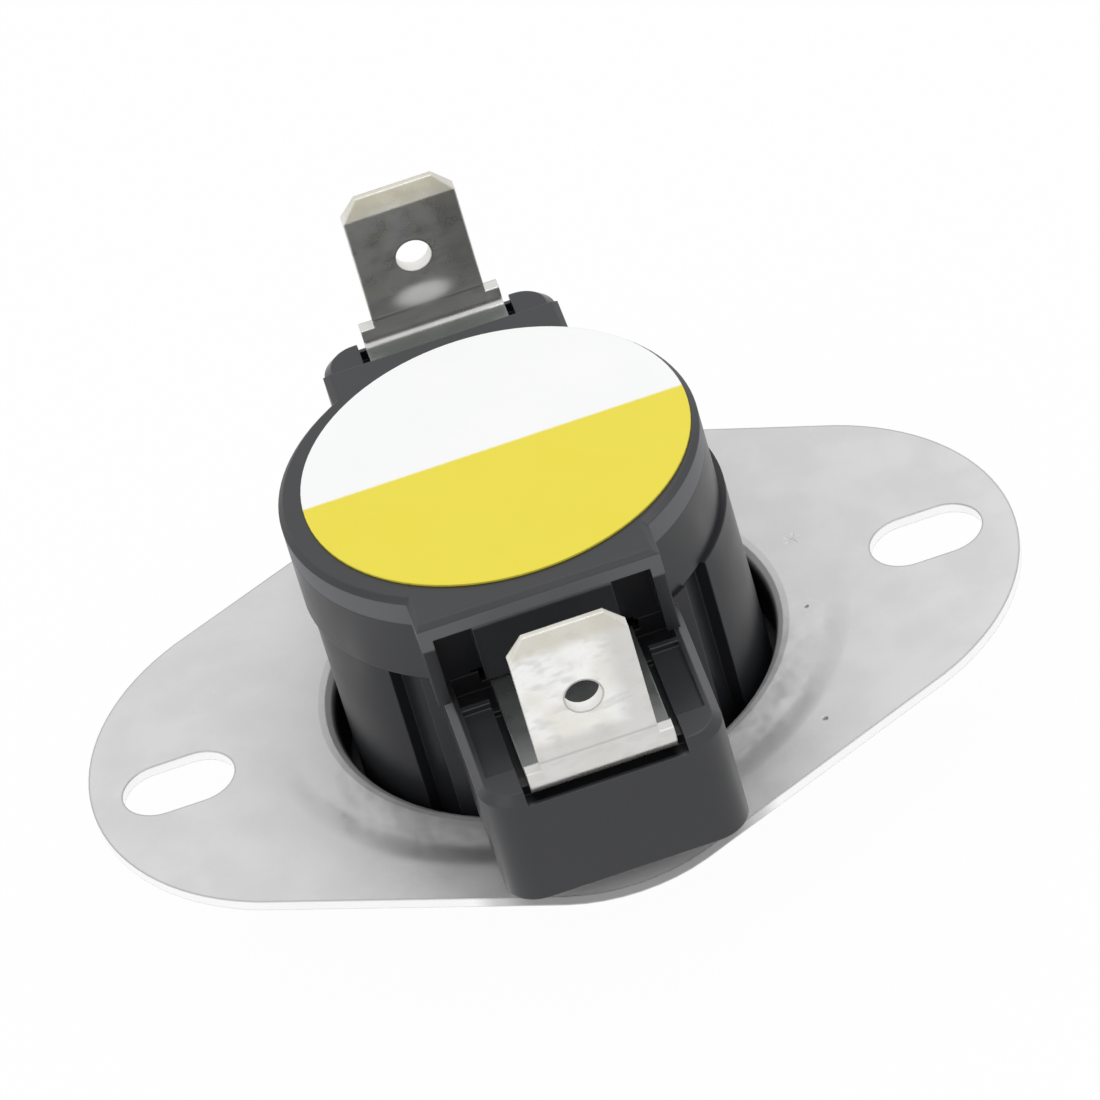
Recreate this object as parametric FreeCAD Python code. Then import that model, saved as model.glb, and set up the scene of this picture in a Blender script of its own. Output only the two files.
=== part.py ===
"""Bimetal disc thermostat for a duct or plenum wall, in millimetres.

A bimetal disc in the cup below the flange snaps upward when it gets hot. It lifts a ceramic
pin, the pin lifts a spring arm inside the black switch case, and the contact opens.

Frame: +Z points out of the wall. The origin is midway between the two slots, on the
underside of the flange, which is the face that lies on the wall. +X runs through the slots.
The front terminal stands on the -Y side and the rear terminal on the +Y side.
"""
import FreeCAD, Part
import math
import os

from FreeCAD import Vector

# Mounting flange: one drawn aluminium sheet
SHEET = 0.6
SLOT_PITCH = 42.0
SLOT_LENGTH = 6.2
SLOT_WIDTH = 4.1
FLANGE_MIDDLE_RADIUS = 19.2
FLANGE_END_RADIUS = 13.2
FLANGE_END_OFFSET = 12.6
WELL_DEPTH = 3.6
WELL_BEND = 0.95
CURL_STEPS = 4
CURL_STEPS_BELOW = 2
WELL_PLAY = 0.55

# Switch base: moulded, with an ear for each terminal
BARREL_RADIUS = 11.4
GROOVE_DEPTH = 0.8
GROOVE_FROM_DEGREES = 40.0
GROOVE_TO_DEGREES = 50.0
SKIRT_LENGTH = 1.6
SEAM_HEIGHT = 9.3
CHAMBER_FLOOR = 0.0
CHAMBER_HALF_WIDTH = 5.2
CHAMBER_HALF_LENGTH = 9.4
POST_HALF_WIDTH = 4.2
POST_SETBACK = 0.2
LEDGE_THICKNESS = 3.0

EAR_HALF_WIDTH = 6.6
EAR_REACH = 21.0
EAR_HEIGHT = 6.8
EAR_CORNER = 2.0
EAR_EDGE = 0.45
EAR_SIDE_RIM = 0.7
EAR_END_RIM = 2.5
PANEL_DEPTH = 0.35
PANEL_START = 12.8
POCKET_DEPTH = 1.2
RIDGE_WIDTH = 0.35
SIDE_GROOVE = 0.4
SIDE_GROOVE_DEPTH = 1.0
NOTCH_RELIEF = 0.6
NOTCH_RELIEF_LENGTH = 1.7
NOTCH_SILL = 0.25

# Switch cover: moulded, closes the chamber and carries the label
COVER_STEP = -0.05
COVER_SHIFT = -0.3
COVER_HEIGHT = 5.3
COVER_TOP_WALL = 1.7
COVER_EDGE = 0.3
LOBE_REACH = 11.8
LINTEL_HEIGHT = 1.05
LINTEL_OVERHANG = 0.6
WINDOW_DEPTH = 1.2
WINDOW_WIDTH = 2.1
DOORWAY_PLAY = 0.5

# Label: printed film, stuck on slightly off centre
LABEL_RADIUS = 10.5
LABEL_THICKNESS = 0.12
LABEL_SHIFT_X = 0.2
LABEL_SHIFT_Y = 0.15

# Terminals: 6.35 x 0.8 mm push-on tabs, bent up from a flat plate
TAB_THICKNESS = 0.8
TAB_WIDTH = 6.35
SHOULDER_WIDTH = 7.9
SHOULDER_HEIGHT = 1.8
TAB_HEIGHT = 10.15
TAB_OUTER_FACE = 20.8
TAB_BEND = 0.4
TAB_TIP_BEVEL = 0.22
TAB_TIP_LENGTH = 1.2
TAB_TIP_CORNER = 1.0
TAB_HOLE_RADIUS = 0.98
TAB_HOLE_FROM_TIP = 4.55
PLATE_INNER_WIDTH = 5.2
PLATE_NECK_START = 10.6
PLATE_LIFT = -0.7

# Rivets and contacts
RIVET_OFFSET = 7.3
RIVET_RADIUS = 0.85
RIVET_CLEARANCE = 0.05
RIVET_HEAD_RADIUS = 1.4
RIVET_HEAD = 0.45
RIVET_CORE_HALF = 1.9
CONTACT_SPACE = 0.15
CONTACT_RADIUS = 1.2
FIXED_CONTACT_HEIGHT = 0.6
MOVING_CONTACT_HEIGHT = 0.55
CONTACT_GAP_AT_REST = 0.02

# Contact arm: a thin spring blade held by the rear rivet
ARM_THICKNESS = 0.25
ARM_WIDTH = 4.0
ARM_TIP_WIDTH = 3.0
ARM_ROOT_LENGTH = 1.6
ARM_JOG_LENGTH = 1.0
ARM_TIP_MARGIN = 1.7
ARM_ROOT_PLAY = 0.17
ARM_HOLE_PLAY = 0.3

# Sensor cup, bimetal disc, guide and pin
CUP_SHEET = 0.4
CUP_PLAY = 0.05
CUP_HOLE_PLAY = 0.1
CUP_DEPTH = 3.6
CUP_OPENING_RADIUS = 5.0
DISC_RADIUS = 9.5
DISC_THICKNESS = 0.3
DISC_FLAT_RADIUS = 9.0
DISC_DISH = 0.3
DISC_PLAY = 0.2
DISC_EDGE_PLAY = 0.2
GUIDE_PLAY = 0.1
GUIDE_RIM = 0.15
PIN_RADIUS = 1.05
PIN_PLAY = 0.05
PIN_WAY_PLAY = 0.45

# Radii that follow from the disc, through the cup and the base, and from the barrel
GUIDE_RADIUS = DISC_RADIUS + DISC_EDGE_PLAY + GUIDE_RIM
CUP_INNER_RADIUS = GUIDE_RADIUS + GUIDE_PLAY
SKIRT_RADIUS = CUP_INNER_RADIUS - CUP_PLAY
GROOVE_RADIUS = BARREL_RADIUS - GROOVE_DEPTH
WELL_RADIUS = BARREL_RADIUS + WELL_PLAY
COVER_RADIUS = BARREL_RADIUS + COVER_STEP

# Places that several pieces share
CONTACT_OFFSET = RIVET_OFFSET - RIVET_HEAD_RADIUS - CONTACT_SPACE - CONTACT_RADIUS
PLATE_INNER_END = CONTACT_OFFSET - CONTACT_RADIUS - CONTACT_SPACE
WELL_FLOOR = -(WELL_DEPTH - SHEET)
SKIRT_END = WELL_FLOOR - SHEET - SKIRT_LENGTH
COVER_TOP = SEAM_HEIGHT + COVER_HEIGHT
CEILING = COVER_TOP - COVER_TOP_WALL
EAR_BOTTOM = SEAM_HEIGHT - EAR_HEIGHT
WINDOW_BACK = LOBE_REACH - LINTEL_OVERHANG - WINDOW_DEPTH
PLATE_BOTTOM = SEAM_HEIGHT + PLATE_LIFT
PLATE_TOP = PLATE_BOTTOM + TAB_THICKNESS
LEDGE_UNDERSIDE = PLATE_BOTTOM - LEDGE_THICKNESS
ARM_ROOT_BOTTOM = PLATE_TOP + ARM_ROOT_PLAY
ARM_ROOT_TOP = ARM_ROOT_BOTTOM + ARM_THICKNESS
FIXED_CONTACT_TOP = PLATE_TOP + FIXED_CONTACT_HEIGHT
MOVING_CONTACT_BOTTOM = FIXED_CONTACT_TOP + CONTACT_GAP_AT_REST
ARM_BOTTOM = MOVING_CONTACT_BOTTOM + MOVING_CONTACT_HEIGHT
CUP_TOP = WELL_FLOOR - SHEET
CUP_BOTTOM = CUP_TOP - CUP_DEPTH
CUP_LEDGE = CUP_BOTTOM + CUP_SHEET
DISC_TOP = CUP_LEDGE + DISC_THICKNESS + DISC_DISH

PLAY = 0.1
FAR = 60.0


def cylinder(radius, low, high, x=0.0, y=0.0):
    """An upright cylinder between two heights."""
    return Part.makeCylinder(radius, high - low, Vector(x, y, low))


def block(x_low, x_high, y_low, y_high, z_low, z_high):
    """A box between two corners."""
    size = (x_high - x_low, y_high - y_low, z_high - z_low)
    return Part.makeBox(*size, Vector(x_low, y_low, z_low))


def centred_block(half_width, y_low, y_high, z_low, z_high):
    """A box that is symmetric about the plane x = 0."""
    return block(-half_width, half_width, y_low, y_high, z_low, z_high)


def fuse(first, *others):
    """One clean solid out of several that touch or overlap."""
    return first.multiFuse(list(others)).removeSplitter()


def turned(points):
    """A full revolve about Z of an outline given as (radius, height) pairs."""
    outline = Part.makePolygon([Vector(r, 0, z) for r, z in points + points[:1]])
    return Part.Face(outline).revolve(Vector(0, 0, 0), Vector(0, 0, 1), 360)


def curl(centre_r, centre_z, radius, steps):
    """A quarter turn of turned sheet, from its upright wall to its flat, in straight steps."""
    angles = [math.pi - math.pi / 2 * step / steps for step in range(steps + 1)]
    return [(centre_r + radius * math.cos(angle), centre_z + radius * math.sin(angle)) for angle in angles]


def rounded_path(points, radii):
    """A wire through the points, with an arc of the given radius at each inner point."""
    edges = []
    start = points[0]
    for before, corner, after, radius in zip(points, points[1:], points[2:], radii):
        back = (before - corner).normalize()
        on = (after - corner).normalize()
        half_angle = back.getAngle(on) / 2
        setback = radius / math.tan(half_angle)
        middle = (back + on).normalize() * (radius / math.sin(half_angle) - radius)
        first, last = corner + back * setback, corner + on * setback
        edges.append(Part.LineSegment(start, first).toShape())
        edges.append(Part.Arc(first, corner + middle, last).toShape())
        start = last
    edges.append(Part.LineSegment(start, points[-1]).toShape())
    return Part.Wire(edges)


def sheet_section(points, inner_radii, thickness):
    """The cut face of bent sheet: a rounded centre line, thickened to both sides."""
    centre_line = rounded_path(points, [r + thickness / 2 for r in inner_radii])
    one_side = centre_line.makeOffset2D(thickness / 2, 0, False, True)
    other_side = centre_line.makeOffset2D(-thickness / 2, 0, False, True)
    ends = []
    for index in (0, -1):
        a = one_side.OrderedVertexes[index].Point
        b = nearest_end(other_side, a)
        ends.append(Part.LineSegment(a, b).toShape())
    edges = one_side.Edges + other_side.Edges + ends
    return Part.Face(Part.Wire(Part.__sortEdges__(edges)))


def nearest_end(wire, point):
    """The end of an open wire that lies nearest to a point."""
    ends = [wire.OrderedVertexes[0].Point, wire.OrderedVertexes[-1].Point]
    return min(ends, key=lambda end: end.distanceToPoint(point))


def rounded_rectangle(half_width, y_low, y_high, corner):
    """A plan outline whose two corners at y_high are rounded."""
    points = [
        Vector(-half_width, y_low, 0),
        Vector(-half_width, y_high, 0),
        Vector(half_width, y_high, 0),
        Vector(half_width, y_low, 0),
    ]
    path = rounded_path(points, [corner, corner])
    closing = Part.LineSegment(points[-1], points[0]).toShape()
    return Part.Face(Part.Wire(path.Edges + [closing]))


def at_both_ends(make):
    """The shape that a function makes for the rear (+Y), and its twin turned to the front."""
    rear = make()
    front = rear.copy()
    front.rotate(Vector(0, 0, 0), Vector(0, 0, 1), 180)
    return rear, front


def flange_outline():
    """The hull of a large circle in the middle and a smaller one at each end."""
    lean = math.asin((FLANGE_MIDDLE_RADIUS - FLANGE_END_RADIUS) / FLANGE_END_OFFSET)
    outward = Vector(math.sin(lean), math.cos(lean), 0)
    middle_right = outward * FLANGE_MIDDLE_RADIUS
    end_right = Vector(FLANGE_END_OFFSET, 0, 0) + outward * FLANGE_END_RADIUS
    tip = FLANGE_END_OFFSET + FLANGE_END_RADIUS

    def mirrored(point, x_sign, y_sign):
        return Vector(point.x * x_sign, point.y * y_sign, 0)

    edges = []
    for side in (1, -1):
        middle = Vector(0, side * FLANGE_MIDDLE_RADIUS, 0)
        edges.append(Part.Arc(mirrored(middle_right, -1, side), middle,
                              mirrored(middle_right, 1, side)).toShape())
        edges.append(Part.Arc(mirrored(end_right, side, 1), Vector(side * tip, 0, 0),
                              mirrored(end_right, side, -1)).toShape())
        for x_sign in (1, -1):
            edges.append(Part.LineSegment(mirrored(middle_right, x_sign, side),
                                          mirrored(end_right, x_sign, side)).toShape())
    return Part.Face(Part.Wire(Part.__sortEdges__(edges)))


def slot(x):
    """A mounting slot, long along X, through the flange."""
    half_run = (SLOT_LENGTH - SLOT_WIDTH) / 2
    radius = SLOT_WIDTH / 2
    low, high = -SHEET, 2 * SHEET
    ends = [cylinder(radius, low, high, x + side * half_run) for side in (-1, 1)]
    return fuse(block(x - half_run, x + half_run, -radius, radius, low, high), *ends)


def mounting_flange():
    """Flat plate with a drawn well, whose floor carries the switch base."""
    plate_start = WELL_RADIUS + WELL_BEND
    curl_middle = SHEET - WELL_BEND
    floor_hole = SKIRT_RADIUS + CUP_HOLE_PLAY
    underside = curl(plate_start, curl_middle, WELL_BEND - SHEET, CURL_STEPS_BELOW)
    upper_side = curl(plate_start, curl_middle, WELL_BEND, CURL_STEPS)
    well = turned([
        (floor_hole, WELL_FLOOR - SHEET),
        (WELL_RADIUS + SHEET, WELL_FLOOR - SHEET),
        *underside,
        *reversed(upper_side),
        (WELL_RADIUS, WELL_FLOOR),
        (floor_hole, WELL_FLOOR),
    ])
    plate = flange_outline().extrude(Vector(0, 0, SHEET)).cut(cylinder(plate_start, -SHEET, 2 * SHEET))
    flange = fuse(plate, well)
    for side in (-1, 1):
        flange = flange.cut(slot(side * SLOT_PITCH / 2))
    return flange


def base_outline():
    """The turned part of the base: barrel that stands on the well's floor, and skirt in the cup."""
    return turned([
        (0, SKIRT_END),
        (SKIRT_RADIUS, SKIRT_END),
        (SKIRT_RADIUS, WELL_FLOOR),
        (BARREL_RADIUS, WELL_FLOOR),
        (BARREL_RADIUS, SEAM_HEIGHT),
        (0, SEAM_HEIGHT),
    ])


def barrel_grooves():
    """The four upright grooves that run down the barrel beside the ears."""
    span = GROOVE_TO_DEGREES - GROOVE_FROM_DEGREES
    grooves = []
    first, second = GROOVE_FROM_DEGREES, 180 - GROOVE_TO_DEGREES
    for start in (first, second, first + 180, second + 180):
        wedge = Part.makeCylinder(FAR, SEAM_HEIGHT - WELL_FLOOR, Vector(0, 0, WELL_FLOOR),
                                  Vector(0, 0, 1), span)
        wedge.rotate(Vector(0, 0, 0), Vector(0, 0, 1), start)
        grooves.append(wedge.cut(cylinder(GROOVE_RADIUS, WELL_FLOOR, SEAM_HEIGHT)))
    return grooves


def ear():
    """One ear with rounded outer corners and a broken top edge."""
    outline = rounded_rectangle(EAR_HALF_WIDTH, 0, EAR_REACH, EAR_CORNER)
    outline.translate(Vector(0, 0, EAR_BOTTOM))
    body = outline.extrude(Vector(0, 0, EAR_HEIGHT))
    edges = [e for e in body.Edges if e.BoundBox.ZMin > SEAM_HEIGHT - PLAY and e.BoundBox.YMax > PLAY]
    return body.makeChamfer(EAR_EDGE, edges)


def ear_channel():
    """What is cut from the top of one ear: the plate's seat, its side grooves, a pocket and a panel."""
    half_seat = SHOULDER_WIDTH / 2 + SIDE_GROOVE
    seat = centred_block(half_seat, 0, FAR, PLATE_BOTTOM, FAR)
    relief = centred_block(half_seat, EAR_REACH - NOTCH_RELIEF_LENGTH, EAR_REACH - NOTCH_SILL,
                           PLATE_BOTTOM - NOTCH_RELIEF, FAR)
    panel_end = EAR_REACH - EAR_END_RIM
    panel_top = SEAM_HEIGHT + PLAY
    pocket = (WINDOW_BACK, PANEL_START - RIDGE_WIDTH, POCKET_DEPTH)
    panel = (PANEL_START, panel_end, PANEL_DEPTH)
    cuts = [seat, relief]
    for side in (-1, 1):
        inner, outer = half_seat - SIDE_GROOVE, EAR_HALF_WIDTH - EAR_SIDE_RIM
        for start, end, depth in (pocket, panel):
            sides = sorted((side * inner, side * outer))
            cuts.append(block(*sides, start, end, SEAM_HEIGHT - depth, panel_top))
        groove_start = half_seat - 2 * SIDE_GROOVE
        cuts.append(block(*sorted((side * groove_start, side * half_seat)), PANEL_START, panel_end,
                          SEAM_HEIGHT - SIDE_GROOVE_DEPTH, panel_top))
    return fuse(*cuts)


def terminal_post():
    """The ledge inside the chamber that one terminal plate is riveted to."""
    return centred_block(POST_HALF_WIDTH, PLATE_INNER_END + POST_SETBACK, CHAMBER_HALF_LENGTH,
                         CHAMBER_FLOOR, PLATE_BOTTOM)


def rivet_hole():
    """The bore for one rivet, and the square core below it that lets its head in."""
    bore = cylinder(RIVET_RADIUS + RIVET_CLEARANCE, SKIRT_END, FAR, 0, RIVET_OFFSET)
    core = centred_block(RIVET_CORE_HALF, RIVET_OFFSET - RIVET_CORE_HALF, RIVET_OFFSET + RIVET_CORE_HALF,
                         SKIRT_END, LEDGE_UNDERSIDE)
    return fuse(bore, core)


def switch_base():
    """Moulded base: barrel with grooves, two ears, chamber, posts and the square way for the pin."""
    body = base_outline()
    for groove in barrel_grooves():
        body = body.cut(groove)
    body = fuse(body, *at_both_ends(ear))
    chamber = centred_block(CHAMBER_HALF_WIDTH, -CHAMBER_HALF_LENGTH, CHAMBER_HALF_LENGTH,
                            CHAMBER_FLOOR, FAR)
    for post in at_both_ends(terminal_post):
        chamber = chamber.cut(post)
    body = body.cut(chamber)
    for cut in at_both_ends(ear_channel) + at_both_ends(rivet_hole):
        body = body.cut(cut)
    half_way = PIN_RADIUS + PIN_WAY_PLAY
    pin_way = centred_block(half_way, -half_way, half_way, SKIRT_END, CHAMBER_FLOOR)
    return body.cut(pin_way).removeSplitter()


def cover_lobe():
    """The square shoulder of the cover over one ear."""
    lobe = centred_block(EAR_HALF_WIDTH, 0, LOBE_REACH, SEAM_HEIGHT, COVER_TOP)
    edges = [e for e in lobe.Edges if e.BoundBox.ZMin > COVER_TOP - PLAY and e.BoundBox.YMax > PLAY]
    return lobe.makeChamfer(COVER_EDGE, edges)


def cover_doorway():
    """What is cut from one lobe: the recess under the lintel, two windows and the plate's way in."""
    half_recess = EAR_HALF_WIDTH - EAR_SIDE_RIM
    recess_face = LOBE_REACH - LINTEL_OVERHANG
    lintel_bottom = COVER_TOP - LINTEL_HEIGHT
    recess = centred_block(half_recess, recess_face, FAR, SEAM_HEIGHT, lintel_bottom)
    windows = []
    for side in (-1, 1):
        sides = sorted((side * half_recess, side * (half_recess - WINDOW_WIDTH)))
        windows.append(block(*sides, WINDOW_BACK, recess_face + PLAY, SEAM_HEIGHT, lintel_bottom))
    plate_way = centred_block(SHOULDER_WIDTH / 2 + DOORWAY_PLAY, 0, FAR, SEAM_HEIGHT, PLATE_TOP + PLAY)
    return fuse(recess, plate_way, *windows)


def switch_cover():
    """Moulded cap over the chamber. It sits a little to one side of the base."""
    cap = turned([
        (0, SEAM_HEIGHT),
        (COVER_RADIUS, SEAM_HEIGHT),
        (COVER_RADIUS, COVER_TOP - COVER_EDGE),
        (COVER_RADIUS - COVER_EDGE, COVER_TOP),
        (0, COVER_TOP),
    ])
    cap = fuse(cap, *at_both_ends(cover_lobe))
    chamber = centred_block(CHAMBER_HALF_WIDTH, -CHAMBER_HALF_LENGTH, CHAMBER_HALF_LENGTH,
                            SEAM_HEIGHT, CEILING)
    cap = cap.cut(chamber)
    for cut in at_both_ends(cover_doorway):
        cap = cap.cut(cut)
    cap.translate(Vector(COVER_SHIFT, 0, 0))
    return cap.removeSplitter()


def colour_label():
    """Round printed film on the flat top of the cover."""
    return cylinder(LABEL_RADIUS, COVER_TOP, COVER_TOP + LABEL_THICKNESS, LABEL_SHIFT_X, LABEL_SHIFT_Y)


def tab_outline():
    """The tab as seen from the side it faces, with a shoulder and clipped tip corners."""
    half, shoulder = TAB_WIDTH / 2, SHOULDER_WIDTH / 2
    shoulder_top = PLATE_BOTTOM + SHOULDER_HEIGHT
    tip = PLATE_BOTTOM + TAB_HEIGHT
    points = [
        (-shoulder, PLATE_BOTTOM - PLAY),
        (-shoulder, shoulder_top),
        (-half, shoulder_top),
        (-half, tip - TAB_TIP_LENGTH),
        (-half + TAB_TIP_CORNER, tip),
    ]
    points += [(-x, z) for x, z in reversed(points)]
    wire = Part.makePolygon([Vector(x, 0, z) for x, z in points + points[:1]])
    return Part.Face(wire).extrude(Vector(0, FAR, 0))


def tip_bevel(face, direction):
    """The wedge that thins the tip of the tab from one face."""
    tip = PLATE_BOTTOM + TAB_HEIGHT
    start = Vector(-FAR / 2, face, tip - TAB_TIP_LENGTH)
    top = Vector(-FAR / 2, face - direction * TAB_TIP_BEVEL, tip)
    outside = Vector(-FAR / 2, face, tip)
    triangle = Part.Face(Part.makePolygon([start, top, outside, start]))
    return triangle.extrude(Vector(FAR, 0, 0))


def rear_terminal():
    """Plate, bend and tab out of one strip, with a hole for the rivet."""
    middle = TAB_THICKNESS / 2
    tip = PLATE_BOTTOM + TAB_HEIGHT
    path = [
        Vector(0, PLATE_INNER_END, PLATE_BOTTOM + middle),
        Vector(0, TAB_OUTER_FACE - middle, PLATE_BOTTOM + middle),
        Vector(0, TAB_OUTER_FACE - middle, tip),
    ]
    section = sheet_section(path, [TAB_BEND], TAB_THICKNESS)
    section.translate(Vector(-SHOULDER_WIDTH / 2, 0, 0))
    strip = section.extrude(Vector(SHOULDER_WIDTH, 0, 0))
    strip = strip.common(tab_outline())
    for side in (-1, 1):
        beside_neck = sorted((side * PLATE_INNER_WIDTH / 2, side * FAR))
        strip = strip.cut(block(*beside_neck, 0, PLATE_NECK_START, PLATE_BOTTOM - PLAY, PLATE_TOP + PLAY))
    strip = strip.cut(tip_bevel(TAB_OUTER_FACE, 1)).cut(tip_bevel(TAB_OUTER_FACE - TAB_THICKNESS, -1))
    tab_hole = Part.makeCylinder(TAB_HOLE_RADIUS, FAR, Vector(0, PLATE_NECK_START, tip - TAB_HOLE_FROM_TIP),
                                 Vector(0, 1, 0))
    rivet_bore = cylinder(RIVET_RADIUS + RIVET_CLEARANCE, PLATE_BOTTOM - PLAY, PLATE_TOP + PLAY,
                          0, RIVET_OFFSET)
    return strip.cut(tab_hole).cut(rivet_bore).removeSplitter()


def rivet(y, clinch_height):
    """A rivet through a post: head in the core below, clinched head above."""
    head = turned([
        (0, LEDGE_UNDERSIDE - RIVET_HEAD),
        (RIVET_HEAD_RADIUS, LEDGE_UNDERSIDE - RIVET_HEAD),
        (RIVET_HEAD_RADIUS, LEDGE_UNDERSIDE),
        (RIVET_RADIUS, LEDGE_UNDERSIDE),
        (RIVET_RADIUS, clinch_height),
        (RIVET_HEAD_RADIUS, clinch_height),
        (RIVET_HEAD_RADIUS, clinch_height + RIVET_HEAD),
        (0, clinch_height + RIVET_HEAD),
    ])
    head.translate(Vector(0, y, 0))
    return head


def contact_button(low, high):
    """A welded contact, on the inner end of the front plate or under the tip of the arm."""
    return cylinder(CONTACT_RADIUS, low, high, 0, -CONTACT_OFFSET)


def contact_arm():
    """Spring blade: a root under the rivet head, a jog upward, and a blade that narrows to its tip."""
    middle = ARM_THICKNESS / 2
    jog_start = RIVET_OFFSET - ARM_ROOT_LENGTH
    tip = -(CONTACT_OFFSET + ARM_TIP_MARGIN)
    path = [
        Vector(0, RIVET_OFFSET + ARM_ROOT_LENGTH, ARM_ROOT_BOTTOM + middle),
        Vector(0, jog_start, ARM_ROOT_BOTTOM + middle),
        Vector(0, jog_start - ARM_JOG_LENGTH, ARM_BOTTOM + middle),
        Vector(0, tip, ARM_BOTTOM + middle),
    ]
    section = sheet_section(path, [ARM_THICKNESS, ARM_THICKNESS], ARM_THICKNESS)
    section.translate(Vector(-ARM_WIDTH / 2, 0, 0))
    blade = section.extrude(Vector(ARM_WIDTH, 0, 0))
    half, half_tip = ARM_WIDTH / 2, ARM_TIP_WIDTH / 2
    plan = [
        Vector(-half, RIVET_OFFSET + ARM_ROOT_LENGTH, 0),
        Vector(-half, 0, 0),
        Vector(-half_tip, tip, 0),
        Vector(half_tip, tip, 0),
        Vector(half, 0, 0),
        Vector(half, RIVET_OFFSET + ARM_ROOT_LENGTH, 0),
    ]
    taper = Part.Face(Part.makePolygon(plan + plan[:1])).extrude(Vector(0, 0, FAR))
    blade = blade.common(taper)
    return blade.cut(cylinder(RIVET_RADIUS + ARM_HOLE_PLAY, PLATE_TOP, FAR, 0, RIVET_OFFSET))


def disc_cup():
    """Drawn cup whose bottom is a ledge for the disc, with a large opening that lets the air in."""
    outer = CUP_INNER_RADIUS + CUP_SHEET
    return turned([
        (CUP_INNER_RADIUS, CUP_TOP),
        (outer, CUP_TOP),
        (outer, CUP_BOTTOM),
        (CUP_OPENING_RADIUS, CUP_BOTTOM),
        (CUP_OPENING_RADIUS, CUP_LEDGE),
        (CUP_INNER_RADIUS, CUP_LEDGE),
    ])


def bimetal_disc():
    """Snap disc that lies on the ledge, with its edge turned up while it is cold."""
    return turned([
        (0, CUP_LEDGE),
        (DISC_FLAT_RADIUS, CUP_LEDGE),
        (DISC_RADIUS, CUP_LEDGE + DISC_DISH),
        (DISC_RADIUS, DISC_TOP),
        (DISC_FLAT_RADIUS, DISC_TOP - DISC_DISH),
        (0, DISC_TOP - DISC_DISH),
    ])


def pin_guide():
    """Plate between the disc and the base, with the bore that guides the pin."""
    bore = PIN_RADIUS + PIN_PLAY
    plate_bottom = DISC_TOP + DISC_PLAY
    return turned([
        (bore, plate_bottom),
        (GUIDE_RADIUS, plate_bottom),
        (GUIDE_RADIUS, SKIRT_END),
        (bore, SKIRT_END),
    ])


def transfer_pin():
    """Ceramic pin from the middle of the disc to the underside of the arm."""
    return cylinder(PIN_RADIUS, DISC_TOP - DISC_DISH + PIN_PLAY, ARM_BOTTOM - PIN_PLAY)


def write(name, shape):
    """Save one piece as a STEP file and say how large it is."""
    solid = shape.Solids[0]
    if len(shape.Solids) != 1 or not solid.isValid():
        raise RuntimeError(f"{name} has {len(shape.Solids)} solids, valid: {solid.isValid()}")
    solid.exportStep(f"parts/{name}.step")
    facets = len(solid.tessellate(0.015)[1])
    print(f"{name:22s} {solid.Volume:9.2f} mm3  {facets:5d} facets")
    return facets


def main():
    os.makedirs("parts", exist_ok=True)
    rear, front = at_both_ends(rear_terminal)
    pieces = {
        "mounting_flange": mounting_flange(),
        "switch_base": switch_base(),
        "switch_cover": switch_cover(),
        "colour_label": colour_label(),
        "front_terminal": front,
        "rear_terminal": rear,
        "front_rivet": rivet(-RIVET_OFFSET, PLATE_TOP),
        "rear_rivet": rivet(RIVET_OFFSET, ARM_ROOT_TOP + ARM_ROOT_PLAY),
        "fixed_contact": contact_button(PLATE_TOP, FIXED_CONTACT_TOP),
        "moving_contact": contact_button(MOVING_CONTACT_BOTTOM, ARM_BOTTOM),
        "contact_arm": contact_arm(),
        "transfer_pin": transfer_pin(),
        "pin_guide": pin_guide(),
        "bimetal_disc": bimetal_disc(),
        "disc_cup": disc_cup(),
    }
    facets = sum(write(name, shape) for name, shape in pieces.items())
    print(f"{len(pieces)} pieces, {facets} facets in all")


main()
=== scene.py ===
# %% [markdown]
# # Bimetal thermostat
# A black moulded switch case stands in a drawn metal flange. It has an upright push-on
# terminal on each side and a round label in two colours. The solids come from the packed
# model. This scene corrects the flange's outline, gives each piece its surface, and adds the
# light and the camera.

import math

import bpy
from mathutils import Matrix, Vector


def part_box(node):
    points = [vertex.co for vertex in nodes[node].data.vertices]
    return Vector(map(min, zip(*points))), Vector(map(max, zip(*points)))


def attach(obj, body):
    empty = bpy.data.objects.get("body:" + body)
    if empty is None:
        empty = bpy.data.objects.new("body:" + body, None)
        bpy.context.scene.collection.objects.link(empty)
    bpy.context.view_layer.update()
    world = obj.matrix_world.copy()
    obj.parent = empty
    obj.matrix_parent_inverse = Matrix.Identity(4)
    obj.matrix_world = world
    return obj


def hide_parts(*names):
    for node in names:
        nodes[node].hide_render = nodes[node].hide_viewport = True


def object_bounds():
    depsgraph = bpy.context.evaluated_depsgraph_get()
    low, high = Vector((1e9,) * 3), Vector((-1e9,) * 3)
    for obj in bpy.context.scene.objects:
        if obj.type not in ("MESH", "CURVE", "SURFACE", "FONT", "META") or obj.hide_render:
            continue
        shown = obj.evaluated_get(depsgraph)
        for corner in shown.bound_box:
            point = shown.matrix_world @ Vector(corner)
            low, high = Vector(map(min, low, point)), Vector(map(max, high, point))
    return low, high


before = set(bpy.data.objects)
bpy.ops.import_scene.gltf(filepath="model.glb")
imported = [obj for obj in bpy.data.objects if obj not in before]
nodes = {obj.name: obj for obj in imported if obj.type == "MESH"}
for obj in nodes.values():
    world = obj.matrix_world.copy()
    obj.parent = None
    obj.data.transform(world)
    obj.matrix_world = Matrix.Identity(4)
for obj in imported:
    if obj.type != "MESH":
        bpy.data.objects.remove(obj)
cad_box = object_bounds()
print(len(nodes), "nodes, box", cad_box)

MM = 0.001


def box_mm(node):
    """The lowest and highest corner of a node, in millimetres."""
    low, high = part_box(node)
    return Vector(low) / MM, Vector(high) / MM

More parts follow.
